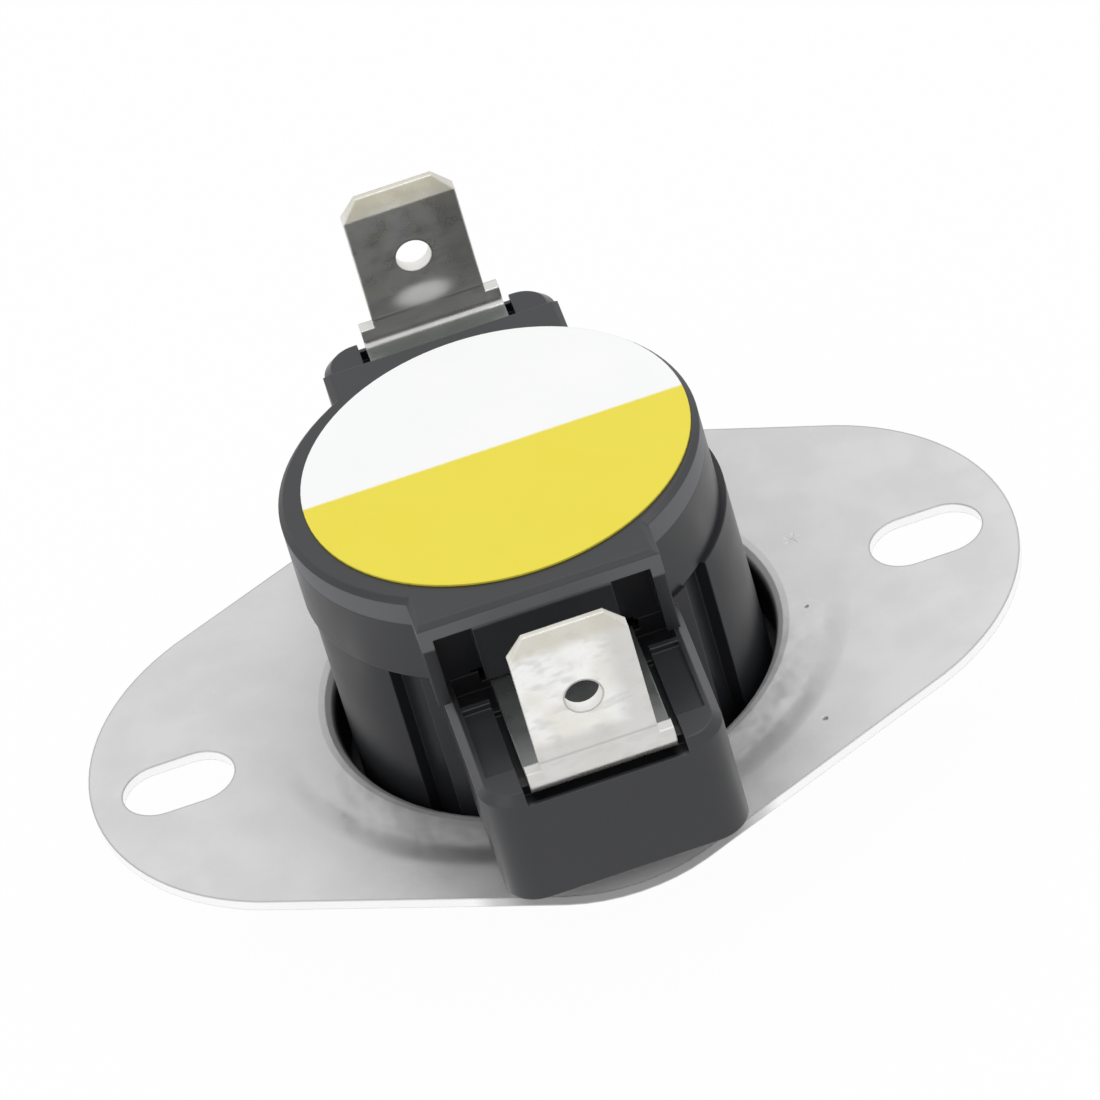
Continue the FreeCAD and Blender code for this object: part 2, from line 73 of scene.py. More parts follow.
# %% [markdown]
# ## Camera
# The photo was taken from the front terminal's side, 38 degrees above the flange, with a long
# lens and the camera rolled. A camera can be aimed with a constraint, but three axes of its
# own leave nothing to chance: where it looks from, what is right and what is up. The numbers
# come from fitting the flange's outline, the slots, the label's ellipse and the tab to the
# photo. Angles are in radians and lengths in millimetres, and MM turns them into metres.

# %% Place the camera
VIEW_TURN = -0.050
VIEW_HEIGHT = 0.659
VIEW_ROLL = 0.290
VIEW_DISTANCE = 500.0
VIEW_SHIFT_RIGHT = 1.517
VIEW_SHIFT_UP = 5.597
FLANGE_TOP = 0.6
FOCAL_LENGTH = 307.0
SENSOR_WIDTH = 36.0
NEAREST_SEEN = 10.0

backward = Vector((math.sin(VIEW_TURN) * math.cos(VIEW_HEIGHT),
                   -math.cos(VIEW_TURN) * math.cos(VIEW_HEIGHT),
                   math.sin(VIEW_HEIGHT)))
right = Vector((math.cos(VIEW_TURN), math.sin(VIEW_TURN), 0))
up = backward.cross(right)
place = backward * VIEW_DISTANCE + right * VIEW_SHIFT_RIGHT + up * VIEW_SHIFT_UP
place.z += FLANGE_TOP

camera_data = bpy.data.cameras.new("camera")
camera_data.lens = FOCAL_LENGTH
camera_data.sensor_width = SENSOR_WIDTH
camera_data.clip_start = NEAREST_SEEN * MM
camera = bpy.data.objects.new("camera", camera_data)
bpy.context.collection.objects.link(camera)
camera_right = right * math.cos(VIEW_ROLL) - up * math.sin(VIEW_ROLL)
camera_up = right * math.sin(VIEW_ROLL) + up * math.cos(VIEW_ROLL)
turn = Matrix((camera_right, camera_up, backward)).transposed()
camera.matrix_world = Matrix.Translation(place * MM) @ turn.to_4x4()
bpy.context.scene.camera = camera
bpy.context.scene.view_settings.view_transform = "Standard"
print("camera at", [round(v, 1) for v in place], "mm")

# %% [markdown]
# ## Colours
# Shaders reckon with linear light, and a picture file holds values bent to suit the eye. The
# colours here were judged on screen, from 0 to 255, so one helper turns them into linear ones.

# %% Colour helpers
def rgba(colour):
    """A colour for a socket: a socket as it is, or (r, g, b) with alpha added."""
    return colour if isinstance(colour, bpy.types.NodeSocket) else (*colour, 1.0)


def srgb(red, green, blue):
    """A colour given as it looks on screen, from 0 to 255, in the linear values that shaders use."""
    def linear(value):
        value /= 255
        return value / 12.92 if value <= 0.04045 else ((value + 0.055) / 1.055) ** 2.4
    return (linear(red), linear(green), linear(blue))


print("a grey of 128 on screen is", round(srgb(128, 128, 128)[0], 3), "in a shader")

# %% [markdown]
# ## Node helpers
# Each finish is a small graph of shader nodes. Such a graph can be drawn by hand in the shader
# editor, and here a script lays it out, so that it can be read and changed. These helpers keep
# a finish short: one line adds one node, and a value that is itself a socket is linked. Places
# are measured in millimetres from the object's own origin, so a mark stays on its piece.

# %% Small tools for shader graphs
BEVEL_SAMPLES = 6
ON_FLAT_GROUND = 0.995
ON_AN_EDGE = 0.86
STANDS_ACROSS = 0.3
LOOKS_ALONG = 0.5


class Finish:
    """A new material with its shader, and short ways to add what feeds it."""

    def __init__(self, name):
        self.material = bpy.data.materials.new(name)
        self.material.use_nodes = True
        self.tree = self.material.node_tree
        self.shader = self.tree.nodes["Principled BSDF"]
        self.output = self.tree.nodes["Material Output"]
        coordinates = self.add("ShaderNodeTexCoord").outputs["Object"]
        self.place = self.vector("SCALE", coordinates, scale=1 / MM)

    def add(self, kind, inputs=None, **settings):
        """One node. Inputs go by name or number; settings are the node's own properties."""
        node = self.tree.nodes.new(kind)
        for key, value in settings.items():
            setattr(node, key, value)
        for key, value in (inputs or {}).items():
            self.feed(node.inputs[key], value)
        return node

    def feed(self, socket, value):
        if isinstance(value, bpy.types.NodeSocket):
            self.tree.links.new(value, socket)
        else:
            socket.default_value = value

    def set(self, **values):
        """Feed the shader's own sockets; an underscore in a name stands for a space."""
        for name, value in values.items():
            self.feed(self.shader.inputs[name.replace("_", " ")], value)

    def vector(self, operation, a, b=None, scale=None):
        node = self.add("ShaderNodeVectorMath", {0: a}, operation=operation)
        if b is not None:
            self.feed(node.inputs[1], b)
        if scale is not None:
            self.feed(node.inputs["Scale"], scale)
        gives_number = operation in ("DOT_PRODUCT", "LENGTH", "DISTANCE")
        return node.outputs["Value" if gives_number else "Vector"]

    def math(self, operation, a, b=None):
        node = self.add("ShaderNodeMath", {0: a}, operation=operation)
        if b is not None:
            self.feed(node.inputs[1], b)
        return node.outputs[0]

    def noise(self, size, detail=3.0, stretch=(1, 1, 1), seed=(0, 0, 0)):
        """Cloudy noise whose lumps are about size millimetres across."""
        stretched = self.vector("MULTIPLY", self.place, stretch)
        moved = self.vector("ADD", stretched, seed)
        inputs = {"Vector": moved, "Scale": 1 / size, "Detail": detail}
        return self.add("ShaderNodeTexNoise", inputs).outputs["Fac"]

    def band(self, value, low, high, to_low=0.0, to_high=1.0, smooth=True):
        """Map a range of a value to another range, held at its ends."""
        node = self.add("ShaderNodeMapRange", {"Value": value, "From Min": low, "From Max": high,
                                               "To Min": to_low, "To Max": to_high})
        node.interpolation_type = "SMOOTHSTEP" if smooth else "LINEAR"
        return node.outputs["Result"]

    def times(self, value, factor):
        return self.math("MULTIPLY", value, factor)

    def total(self, first, *others):
        for other in others:
            first = self.math("ADD", first, other)
        return first

    def mix(self, factor, first, second):
        node = self.add("ShaderNodeMix", {0: factor, 6: rgba(first), 7: rgba(second)}, data_type="RGBA")
        return node.outputs[2]

    def rounded(self, radius):
        """The surface's direction as if its edges had a radius, in millimetres."""
        return self.add("ShaderNodeBevel", {"Radius": radius * MM}, samples=BEVEL_SAMPLES).outputs[0]

    def edges(self, width):
        """1 along edges and 0 on flat ground, within a width in millimetres."""
        flat = self.add("ShaderNodeNewGeometry").outputs["Normal"]
        agreement = self.vector("DOT_PRODUCT", self.rounded(width), flat)
        return self.band(agreement, ON_FLAT_GROUND, ON_AN_EDGE)

    def relief(self, height, edge=0.0):
        """Bump of a height in millimetres, over edges that look rounded to a radius."""
        bump = self.add("ShaderNodeBump", {"Height": height, "Distance": MM, "Strength": 1.0})
        if edge:
            self.feed(bump.inputs["Normal"], self.rounded(edge))
        self.set(Normal=bump.outputs[0])

    def part(self, axis):
        """One coordinate of the place, in millimetres."""
        return self.add("ShaderNodeSeparateXYZ", {0: self.place}).outputs[axis]

    def size_of(self, value):
        return self.math("ABSOLUTE", value)

    def from_axis(self, centre=(0, 0, 0), keep=(1, 1, 0)):
        """Distance from an axis through a centre, counted only along the kept directions."""
        away = self.vector("SUBTRACT", self.place, centre)
        return self.vector("LENGTH", self.vector("MULTIPLY", away, keep))

    def facing(self, axis):
        """1 on faces that look along an axis, either way, and 0 on those that stand across it."""
        normal = self.add("ShaderNodeNewGeometry").outputs["Normal"]
        along = self.size_of(self.add("ShaderNodeSeparateXYZ", {0: normal}).outputs[axis])
        return self.band(along, STANDS_ACROSS, LOOKS_ALONG)

    def across(self, axis):
        """1 on faces that stand across an axis, and 0 on those that look along it."""
        return self.math("SUBTRACT", 1.0, self.facing(axis))

    def cover(self, *names):
        """Put this finish on CAD nodes, or on this scene's own pieces."""
        for name in names:
            piece = nodes.get(name) or bpy.data.objects[name]
            materials = piece.data.materials
            materials.clear()
            materials.append(self.material)
        print(self.material.name, "on", ", ".join(names))


print("helpers ready, with", BEVEL_SAMPLES, "samples for a rounded edge")

# %% [markdown]
# ## Black moulding
# The base and the cover are moulded in black thermoset. The skin is smooth enough to mirror the
# pale flange and the dark gap round the base, which gives the barrel its light and dark bands,
# so these bands are left to the reflections and none is painted. The barrel is a little duller
# than the ears, and worn edges are a little paler grey than the faces. The cover's wall leans
# inward above a faint crease, and a painted light makes it paler grey there. That lean hardly
# shows in the outline, so a bump gives it and the wall itself stays upright.

# %% Base and cover
BARREL_EDGE = 11.5
DULL_GLOSS = 0.25
PLAIN_GLOSS = 0.5
CREASE_HEIGHT = 12.9
CREASE_WIDTH = 0.15
LEAN_ABOVE_CREASE = 0.36


def black_moulding(finish, rough, painted_shading=0.0):
    """The colour and sheen that both mouldings share, with a painted light that turns it paler grey
    where the cover's wall leans.
    """
    clouds = finish.noise(5.0, detail=4)
    colour = finish.mix(clouds, srgb(36, 37, 40), srgb(45, 46, 49))
    # Painted light from the last argument: the colour turns paler grey where it is given.
    colour = finish.mix(painted_shading, colour, srgb(95, 96, 99))
    colour = finish.mix(finish.times(finish.edges(0.14), 0.3), colour, srgb(96, 96, 98))
    finish.set(Base_Color=colour)
    finish.set(Roughness=finish.band(clouds, 0.3, 0.7, rough, rough + 0.09))


def moulded_skin(finish):
    """The fine grain of the mould and its long shallow waves, in millimetres."""
    grain = finish.noise(0.1, detail=2)
    waves = finish.noise(2.2, detail=2, seed=(6, 1, 3))
    return finish.total(finish.times(grain, 0.0012), finish.times(waves, 0.012))


def switch_base():
    finish = Finish("base_moulding")
    black_moulding(finish, 0.27)
    gloss = finish.band(finish.from_axis(), BARREL_EDGE, BARREL_EDGE + 0.2, DULL_GLOSS, PLAIN_GLOSS)
    finish.set(Specular_IOR_Level=gloss)
    finish.relief(moulded_skin(finish), edge=0.12)
    finish.cover("switch_base")


def switch_cover():
    finish = Finish("cover_moulding")
    top = box_mm("switch_cover")[1].z
    above_crease = finish.band(finish.part("Z"), CREASE_HEIGHT, CREASE_HEIGHT + CREASE_WIDTH)
    # Painted light: the cover's wall above the crease is turned paler grey where it leans.
    black_moulding(finish, 0.3, painted_shading=finish.times(above_crease, finish.across("Z")))
    lean = LEAN_ABOVE_CREASE * (top - CREASE_HEIGHT)
    leaning = finish.band(finish.part("Z"), CREASE_HEIGHT, top, 0.0, -lean, smooth=False)
    finish.relief(finish.total(leaning, moulded_skin(finish)), edge=0.12)
    finish.cover("switch_cover")


switch_base()
switch_cover()

# %% [markdown]
# ## Flange outline
# In the photo the flange's front and rear corners reach three quarters of a millimetre further
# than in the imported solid, and its four sides are a little flatter. A new sheet could be
# modelled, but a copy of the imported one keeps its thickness, slots and well. So only the
# vertices on the copy's rim are moved, outward or inward on their line from the centre, until
# they lie on the photo's outline: two end circles and two corner circles, joined by straight
# sides.

# %% Flange with the outline of the photo
END_OFFSET = 12.6
END_RADIUS = 13.2
PACKED_CORNER = (0.0, 19.2)
PHOTO_CORNER = (10.95, 9.0)
RIM_ZONE = 0.25


def outline_reach(angle, corner):
    """How far the outline is from the centre: end and corner circles, joined by straight sides."""
    offset, radius = corner
    angle = math.atan2(abs(math.sin(angle)), abs(math.cos(angle)))
    lean = (math.acos((radius - END_RADIUS) / math.hypot(END_OFFSET, offset))
            - math.atan2(offset, END_OFFSET))
    side_starts = math.atan2(END_RADIUS * math.sin(lean), END_OFFSET + END_RADIUS * math.cos(lean))
    side_ends = math.atan2(offset + radius * math.sin(lean), radius * math.cos(lean))
    if side_starts < angle < side_ends:
        return (END_OFFSET * math.cos(lean) + END_RADIUS) / math.cos(angle - lean)
    if angle <= side_starts:
        along, reach = END_OFFSET * math.cos(angle), END_RADIUS
        beside = END_OFFSET * math.sin(angle)
    else:
        along, reach = offset * math.sin(angle), radius
        beside = offset * math.cos(angle)
    return along + math.sqrt(reach ** 2 - beside ** 2)


def flange_in_photo_outline():
    mesh = nodes["mounting_flange"].data.copy()
    moved = 0
    for vertex in mesh.vertices:
        angle = math.atan2(vertex.co.y, vertex.co.x)
        packed = outline_reach(angle, PACKED_CORNER)
        if math.hypot(vertex.co.x, vertex.co.y) / MM > packed - RIM_ZONE:
            stretch = outline_reach(angle, PHOTO_CORNER) / packed
            vertex.co.x *= stretch
            vertex.co.y *= stretch
            moved += 1
    sheet = bpy.data.objects.new("flange_sheet", mesh)
    bpy.context.collection.objects.link(sheet)
    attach(sheet, "housing")
    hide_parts("mounting_flange")
    print("flange outline:", moved, "of", len(mesh.vertices), "vertices set")


flange_in_photo_outline()

# %% [markdown]
# ## Flange finish
# The flange is thin aluminium sheet with a satin skin. It shows the black case as a soft dark
# reflection. In front of the well the sheet dips by about a fifth of a millimetre. The well's
# wall is painted in shade, near black. The sheared edges are bright below a thin line of painted
# shade; under the ears they are painted in shade, dull grey, and the level corners there are
# painted paler as painted light against the ears' shade. Painted shade also darkens the sheet
# close to the well, front left, and handling has left a star-shaped nick and two small pits.
# Each of these is a zone: a value of 1 inside and 0 outside, made from the distance to the
# well's axis, the height or the side that a face looks to. The colour, the sheen and the bump
# then all read the same zones, so they stay together.

# %% Zones of the flange sheet
DIP_START = 16.3
DIP_END = 14.7
DIP_DEPTH = 0.18
WELL_WALL_RADIUS = 12.05
PAINTED_SHADE_OUTSIDE_RADIUS = 14.6
PAINTED_SHADE_FROM_DIP = (1.2, 0.2)
PAINTED_SHADE_IN_FRONT = (-9.0, -13.5)
PAINTED_SHADE_TO_LEFT = (2.0, -2.0)
SHEARED_FROM_RADIUS = 15.0
DULL_EDGE_HALF_LENGTH = 7.0
CORNER_STARTS = (17.4, 18.4)
CORNER_HALF_WIDTH = (9.5, 7.5)
ABOVE_UNDERSIDE = (0.02, 0.1)
EDGE_LINE_HEIGHT = 0.45
FLANGE_PITS = ((13.6, -2.6, 0.16), (12.2, -12.0, 0.2))
STAR_NICK = (14.3, 3.3)
STAR_RAYS = 5
STAR_RADIUS = 0.55


def star(finish, x, y):
    """1 on the rays of a small star-shaped nick in the sheet, and 0 round it."""
    away = finish.vector("SUBTRACT", finish.place, (x, y, FLANGE_TOP))
    parts = finish.add("ShaderNodeSeparateXYZ", {0: away}).outputs
    turn = finish.times(finish.math("ARCTAN2", parts["Y"], parts["X"]), STAR_RAYS)
    rays = finish.band(finish.math("COSINE", turn), 0.2, 0.8)
    fade = finish.band(finish.vector("LENGTH", away), STAR_RADIUS, STAR_RADIUS * 0.3)
    return finish.times(rays, fade)


def spots(finish, places):
    """1 in each small round pit and 0 elsewhere; a place is x, y and radius."""
    pits = 0.0
    for x, y, radius in places:
        distance = finish.vector("DISTANCE", finish.place, (x, y, FLANGE_TOP))
        pits = finish.total(finish.band(distance, radius, radius * 0.4), pits)
    return pits


def sheared_edge(finish, from_axis):
    """1 on the bright cut faces of the outline and the slots, and 0 elsewhere and by the ears."""
    outside = finish.band(from_axis, SHEARED_FROM_RADIUS - 0.5, SHEARED_FROM_RADIUS)
    # By the ears the cut faces are left out, so they keep the corner's painted shade.
    from_ears = finish.band(finish.size_of(finish.part("X")), DULL_EDGE_HALF_LENGTH,
                            DULL_EDGE_HALF_LENGTH + 1.5)
    return finish.times(finish.times(finish.across("Z"), outside), from_ears)


def painted_corner_under_ear(finish):
    """1 on the sheet's two corners that show below the ears: duller, with painted shade on their cut
    faces and painted light on their level faces.
    """
    far_out = finish.band(finish.size_of(finish.part("Y")), *CORNER_STARTS)
    near_middle = finish.band(finish.size_of(finish.part("X")), *CORNER_HALF_WIDTH)
    above_underside = finish.band(finish.part("Z"), *ABOVE_UNDERSIDE)
    return finish.times(finish.times(far_out, near_middle), above_underside)


def painted_shade_by_well(finish, from_axis):
    """1 where painted shade darkens the sheet by the well's rim and in the dip, front left, and 0 round
    it.
    """
    near_well = finish.band(from_axis, PAINTED_SHADE_OUTSIDE_RADIUS, WELL_WALL_RADIUS)
    from_dip = finish.size_of(finish.math("SUBTRACT", from_axis, (DIP_START + DIP_END) / 2))
    in_front = finish.band(finish.part("Y"), *PAINTED_SHADE_IN_FRONT)
    to_left = finish.band(finish.part("X"), *PAINTED_SHADE_TO_LEFT)
    either = finish.math("MAXIMUM", near_well, finish.band(from_dip, *PAINTED_SHADE_FROM_DIP))
    return finish.times(finish.times(either, in_front), to_left)


def painted_shade_top_edge(finish):
    """1 on the thin line of painted shade where the cut faces meet the sheet's upper face."""
    return finish.times(finish.edges(0.22), finish.band(finish.part("Z"), 0.2, EDGE_LINE_HEIGHT))


def flange_zones(finish, from_axis):
    """Every zone of the sheet by its name; inside is the well's wall, painted in shade."""
    return {
        "painted_well_shade": painted_shade_by_well(finish, from_axis),
        "corner": painted_corner_under_ear(finish),
        "sheared": sheared_edge(finish, from_axis),
        "top edge": painted_shade_top_edge(finish),
        "pits": spots(finish, FLANGE_PITS),
        "nick": star(finish, *STAR_NICK),
        # The well's wall is painted in shade: near black, as the gap round the base lies in shadow.
        "inside": finish.band(from_axis, WELL_WALL_RADIUS + 0.3, WELL_WALL_RADIUS),
    }


print("dip between radius", DIP_END, "and", DIP_START, "mm, with", len(FLANGE_PITS), "pits")

# %% [markdown]
# ## Flange colour
# The sheet's plain colour is a light grey with soft patches and a few paler grains. The zones
# are then laid over it one after the other, the well's wall in painted shade last. A full metal would
# mirror the black case too darkly, so the plain skin is less than half metal, and the rest of
# it is a plain grey that scatters the light.

# %% Colour, sheen and dip of the flange sheet
PLAIN_METAL = 0.45
DIP_FADE = (0.15, -0.45)
DENT_DEPTH = 0.05
GRAIN_HEIGHT = 0.006


def flange_colour(finish, zones, patches, grain):
    """The sheet's plain skin, with each zone's own colour laid over it."""
    colour = finish.mix(finish.band(patches, 0.35, 0.65), srgb(210, 210, 210), srgb(216, 216, 216))
    colour = finish.mix(finish.band(grain, 0.55, 0.8, 0.0, 0.2), colour, srgb(224, 224, 224))
    # Painted shade by the well, front left, made patchy by the cloudy patches.
    painted_well_shade = finish.times(zones["painted_well_shade"], finish.band(patches, 0.3, 0.7, 0.6, 0.9))
    colour = finish.mix(painted_well_shade, colour, srgb(140, 140, 143))
    # Painted shade: the corners' cut faces under the ears are dull grey.
    colour = finish.mix(zones["corner"], colour, srgb(160, 160, 160))
    # Painted light: the corners' level faces are painted near white against the ears' shade.
    painted_light_on_level_corner = finish.times(zones["corner"], finish.facing("Z"))
    bright = finish.math("MAXIMUM", painted_light_on_level_corner, zones["sheared"])
    colour = finish.mix(bright, colour, srgb(252, 252, 252))
    # Painted shade along the top edge of the cut faces.
    colour = finish.mix(finish.times(zones["top edge"], 0.8), colour, srgb(150, 150, 150))
    colour = finish.mix(finish.times(zones["pits"], 0.7), colour, srgb(95, 95, 92))
    colour = finish.mix(finish.times(zones["nick"], 0.6), colour, srgb(240, 240, 240))
    # Painted shade: the well's wall is turned near black.
    return finish.mix(zones["inside"], colour, srgb(22, 22, 23))


def flange_metal_share(finish, zones):
    """How metallic each place is: most on cut faces, least in the well and under the ears."""
    return finish.total(PLAIN_METAL, finish.times(zones["inside"], -0.35),
                        finish.times(zones["sheared"], 0.5), finish.times(zones["corner"], -0.4))


def flange_roughness(finish, zones, patches):
    """Satin, with cloudy patches, duller at the corners and smoother on the cut faces."""
    return finish.total(finish.band(patches, 0.3, 0.7, 0.4, 0.48),
                        finish.times(zones["corner"], 0.4), finish.times(zones["sheared"], -0.2))


def flange_relief(finish, zones, from_axis, grain):
    """Height of the skin in millimetres: the uneven dip in front, the dents and the grain."""
    in_front = finish.band(finish.math("DIVIDE", finish.part("Y"), from_axis), *DIP_FADE)
    unevenness = finish.band(finish.noise(3.0, detail=2), 0.3, 0.7, 0.75, 1.25)
    depth = finish.times(finish.times(in_front, unevenness), DIP_DEPTH)
    dip = finish.times(finish.band(from_axis, DIP_END, DIP_START, -1.0, 0.0), depth)
    dents = finish.times(finish.total(zones["nick"], zones["pits"]), -DENT_DEPTH)
    return finish.total(dip, finish.times(grain, GRAIN_HEIGHT), dents)


def flange_finish():
    finish = Finish("flange_metal")
    from_axis = finish.from_axis()
    patches = finish.noise(3.0, detail=6)
    grain = finish.noise(0.3, detail=4, seed=(7, 3, 1))
    zones = flange_zones(finish, from_axis)
    finish.set(Base_Color=flange_colour(finish, zones, patches, grain))
    finish.set(Metallic=flange_metal_share(finish, zones))
    finish.set(Roughness=flange_roughness(finish, zones, patches))
    finish.relief(flange_relief(finish, zones, from_axis, grain), edge=0.1)
    finish.cover("flange_sheet")


flange_finish()

# %% [markdown]
# ## Label
# The label is one round of printed film: white behind and yellow in front, with a straight
# join between them. Two pieces of film could be laid side by side, but one print is one
# piece, so the colour changes where the place along Y passes the join. The print is even, with
# a faint tooth in the film that also makes the join a little ragged.

# %% Two-colour label
JOIN_BEHIND_CENTRE = 0.5
JOIN_RAGGEDNESS = 0.08
JOIN_BLUR = 0.25


def two_colour_label():
    finish = Finish("label_film")
    low, high = box_mm("colour_label")
    join = (low.y + high.y) / 2 + JOIN_BEHIND_CENTRE
    tooth = finish.noise(0.3, detail=3)
    clouds = finish.noise(4.0, detail=3, seed=(2, 5, 0))
    yellow = finish.mix(clouds, srgb(234, 217, 56), srgb(238, 223, 66))
    white = finish.mix(clouds, srgb(246, 247, 247), srgb(251, 252, 251))
    ragged = finish.total(finish.part("Y"), finish.times(tooth, JOIN_RAGGEDNESS))
    colour = finish.mix(finish.band(ragged, join, join + JOIN_BLUR), yellow, white)
    finish.set(Base_Color=colour, Roughness=0.5)
    finish.relief(finish.times(tooth, 0.002), edge=0.05)
    finish.cover("colour_label")


two_colour_label()

# %% [markdown]
# ## Terminals
# The terminals are tinned strip: bright and smooth, with a faint mottle, a scribed line above
# the shoulders, a thin ring of painted shade round the hole and a warmer grey over the tip's
# bevel. The hole's wall is painted near white as painted light, and on its inner face each tab
# has a painted reflection below the hole, a near-white dull patch. Painted shade greys each tab
# to the right and low down and darkens the part that lies in the case, and the tab's edges
# carry a painted highlight.
# Each could have a finish of its own, but both are the same strip, bent the same way. So they
# share one, and every mark is placed by its height and its place across the tab, which are the
# same on both.

# %% Plated strip
HOLE_CENTRE = (0, 0, 14.2)
HOLE_RADIUS = 0.98
RIM_LINE = 0.12
REFLECTION_PATCH_CENTRE = (-0.1, 0, 11.6)
REFLECTION_PATCH_STRETCH = (0.45, 0, 1)
REFLECTION_PATCH_RADIUS = 1.05
TAB_MIDDLE = 20.4
TAB_INNER_FACE = 20.0
SCRIBED_HEIGHT = 10.9
SCRIBED_DEPTH = 0.012
HAZE_HEIGHT = 0.006
STRIP_METAL = 0.85
TIP_BEVEL_HEIGHT = 17.55
PAINTED_SHADE_TO_RIGHT = (1.0, 2.4)
PAINTED_SHADE_LOW_DOWN = (12.4, 11.6)


def strip_colour(finish, painted_light_in_hole, painted_reflection, scribed_line_and_hole_shade):
    """Bright tin, warmer on the tip's bevel, with painted shade low down, to the right and inside the
    case, a painted highlight on the edges, and painted light in and below the hole.
    """
    stain = finish.noise(1.6, detail=2.5, seed=(3, 9, 4))
    mottle = finish.noise(0.6, detail=1.5, stretch=(0.6, 1, 1.2), seed=(8, 2, 6))
    height = finish.part("Z")
    colour = finish.mix(finish.band(stain, 0.4, 0.68), srgb(247, 247, 246), srgb(236, 234, 227))
    colour = finish.mix(finish.band(mottle, 0.5, 0.72, 0.0, 0.6), colour, srgb(214, 213, 209))
    # The scribed line is a real mark; the dark ring round the hole is painted shade.
    colour = finish.mix(finish.times(scribed_line_and_hole_shade, 0.7), colour, srgb(140, 138, 130))
    # Painted shade: the tab greys to the right and low down.
    to_right = finish.band(finish.part("X"), *PAINTED_SHADE_TO_RIGHT)
    low_down = finish.band(height, *PAINTED_SHADE_LOW_DOWN)
    painted_shading = finish.times(finish.math("MAXIMUM", to_right, low_down), 0.7)
    colour = finish.mix(painted_shading, colour, srgb(203, 202, 199))
    tip = finish.band(height, TIP_BEVEL_HEIGHT - 0.3, TIP_BEVEL_HEIGHT + 0.5)
    colour = finish.mix(finish.times(tip, 0.7), colour, srgb(205, 200, 186))
    # Painted highlight along the tab's edges.
    colour = finish.mix(finish.times(finish.edges(0.13), 0.6), colour, srgb(246, 245, 240))
    # Painted shade: the part that lies in the case is darkened.
    from_middle = finish.size_of(finish.part("Y"))
    painted_shade_in_case = finish.band(from_middle, TAB_INNER_FACE - 0.05, TAB_INNER_FACE - 0.4)
    colour = finish.mix(finish.times(painted_shade_in_case, 0.9), colour, srgb(112, 116, 114))
    # Painted light in the hole and a painted reflection below it, both near white.
    return finish.mix(finish.math("MAXIMUM", painted_light_in_hole, painted_reflection), colour, srgb(252, 251, 248))


def scribed_line(finish):
    """1 on the fine line across each tab above its shoulders, and 0 off it."""
    off_line = finish.size_of(finish.math("SUBTRACT", finish.part("Z"), SCRIBED_HEIGHT))
    return finish.band(off_line, 0.12, 0.03)


def painted_reflection_patch(finish):
    """1 in the painted reflection below the hole, on the tab's inner side, and 0 round it."""
    from_reflection_patch = finish.from_axis(REFLECTION_PATCH_CENTRE, keep=REFLECTION_PATCH_STRETCH)
    inner_side = finish.band(finish.size_of(finish.part("Y")), TAB_MIDDLE, TAB_MIDDLE - 0.2)
    return finish.times(finish.band(from_reflection_patch, REFLECTION_PATCH_RADIUS, REFLECTION_PATCH_RADIUS / 5), inner_side)


def plated_strip():
    finish = Finish("terminal_metal")
    from_hole = finish.from_axis(HOLE_CENTRE, keep=(1, 0, 1))
    # A thin ring of painted shade lies round the hole's rim.
    near_hole = finish.band(from_hole, HOLE_RADIUS + RIM_LINE, HOLE_RADIUS + 0.5 * RIM_LINE)
    # Painted light: the hole's wall is painted near white, and dull.
    painted_light_in_hole = finish.times(near_hole, finish.across("Y"))
    scribed = scribed_line(finish)
    # Painted reflection: a near-white, dull patch below the hole on the inner face.
    painted_reflection = painted_reflection_patch(finish)
    scribed_line_and_hole_shade = finish.math("MAXIMUM", scribed, near_hole)
    finish.set(Base_Color=strip_colour(finish, painted_light_in_hole, painted_reflection, scribed_line_and_hole_shade))
    dull = finish.math("MAXIMUM", painted_light_in_hole, painted_reflection)
    finish.set(Metallic=finish.band(dull, 0.0, 1.0, STRIP_METAL, 0.0))
    haze = finish.noise(1.1, detail=3, seed=(5, 5, 2))
    sheen = finish.band(haze, 0.3, 0.7, 0.26, 0.34)
    finish.set(Roughness=finish.total(sheen, finish.times(dull, 0.4)))
    line_depth = finish.times(scribed, -SCRIBED_DEPTH)
    finish.relief(finish.total(line_depth, finish.times(haze, HAZE_HEIGHT)), edge=0.16)
    finish.cover("front_terminal", "rear_terminal")


plated_strip()

# %% [markdown]
# ## Rivets, contacts, disc and cup
# The rivets and the spring arm are copper alloys, the contact buttons are silver, and the disc
# and its cup are pale strip metal. All of them are turned or pressed, which leaves fine marks
# and dull spots. They differ in colour and roughness only, so one function makes every finish.

# %% Small metal pieces
def small_metal(name, dark, light, rough, *covered):
    """Turned or pressed metal, with fine drag marks and dull spots."""
    finish = Finish(name)
    marks = finish.noise(0.2, detail=4, stretch=(1, 0.2, 1))
    dull = finish.noise(1.2, detail=4, seed=(1, 2, 3))
    colour = finish.mix(finish.band(dull, 0.35, 0.7), light, dark)
    finish.set(Base_Color=colour, Metallic=0.95)
    finish.set(Roughness=finish.band(marks, 0.3, 0.7, rough, rough + 0.12))
    finish.relief(finish.times(marks, 0.003), edge=0.08)
    finish.cover(*covered)


small_metal("rivet_metal", srgb(178, 146, 88), srgb(214, 184, 120), 0.28,
            "front_rivet", "rear_rivet")
small_metal("contact_silver", srgb(196, 194, 188), srgb(232, 231, 226), 0.3,
            "fixed_contact", "moving_contact")
small_metal("spring_copper", srgb(176, 112, 72), srgb(214, 148, 104), 0.3, "contact_arm")
small_metal("bimetal", srgb(172, 166, 154), srgb(190, 184, 172), 0.34, "bimetal_disc")
small_metal("cup_metal", srgb(200, 200, 200), srgb(216, 216, 216), 0.38, "disc_cup")

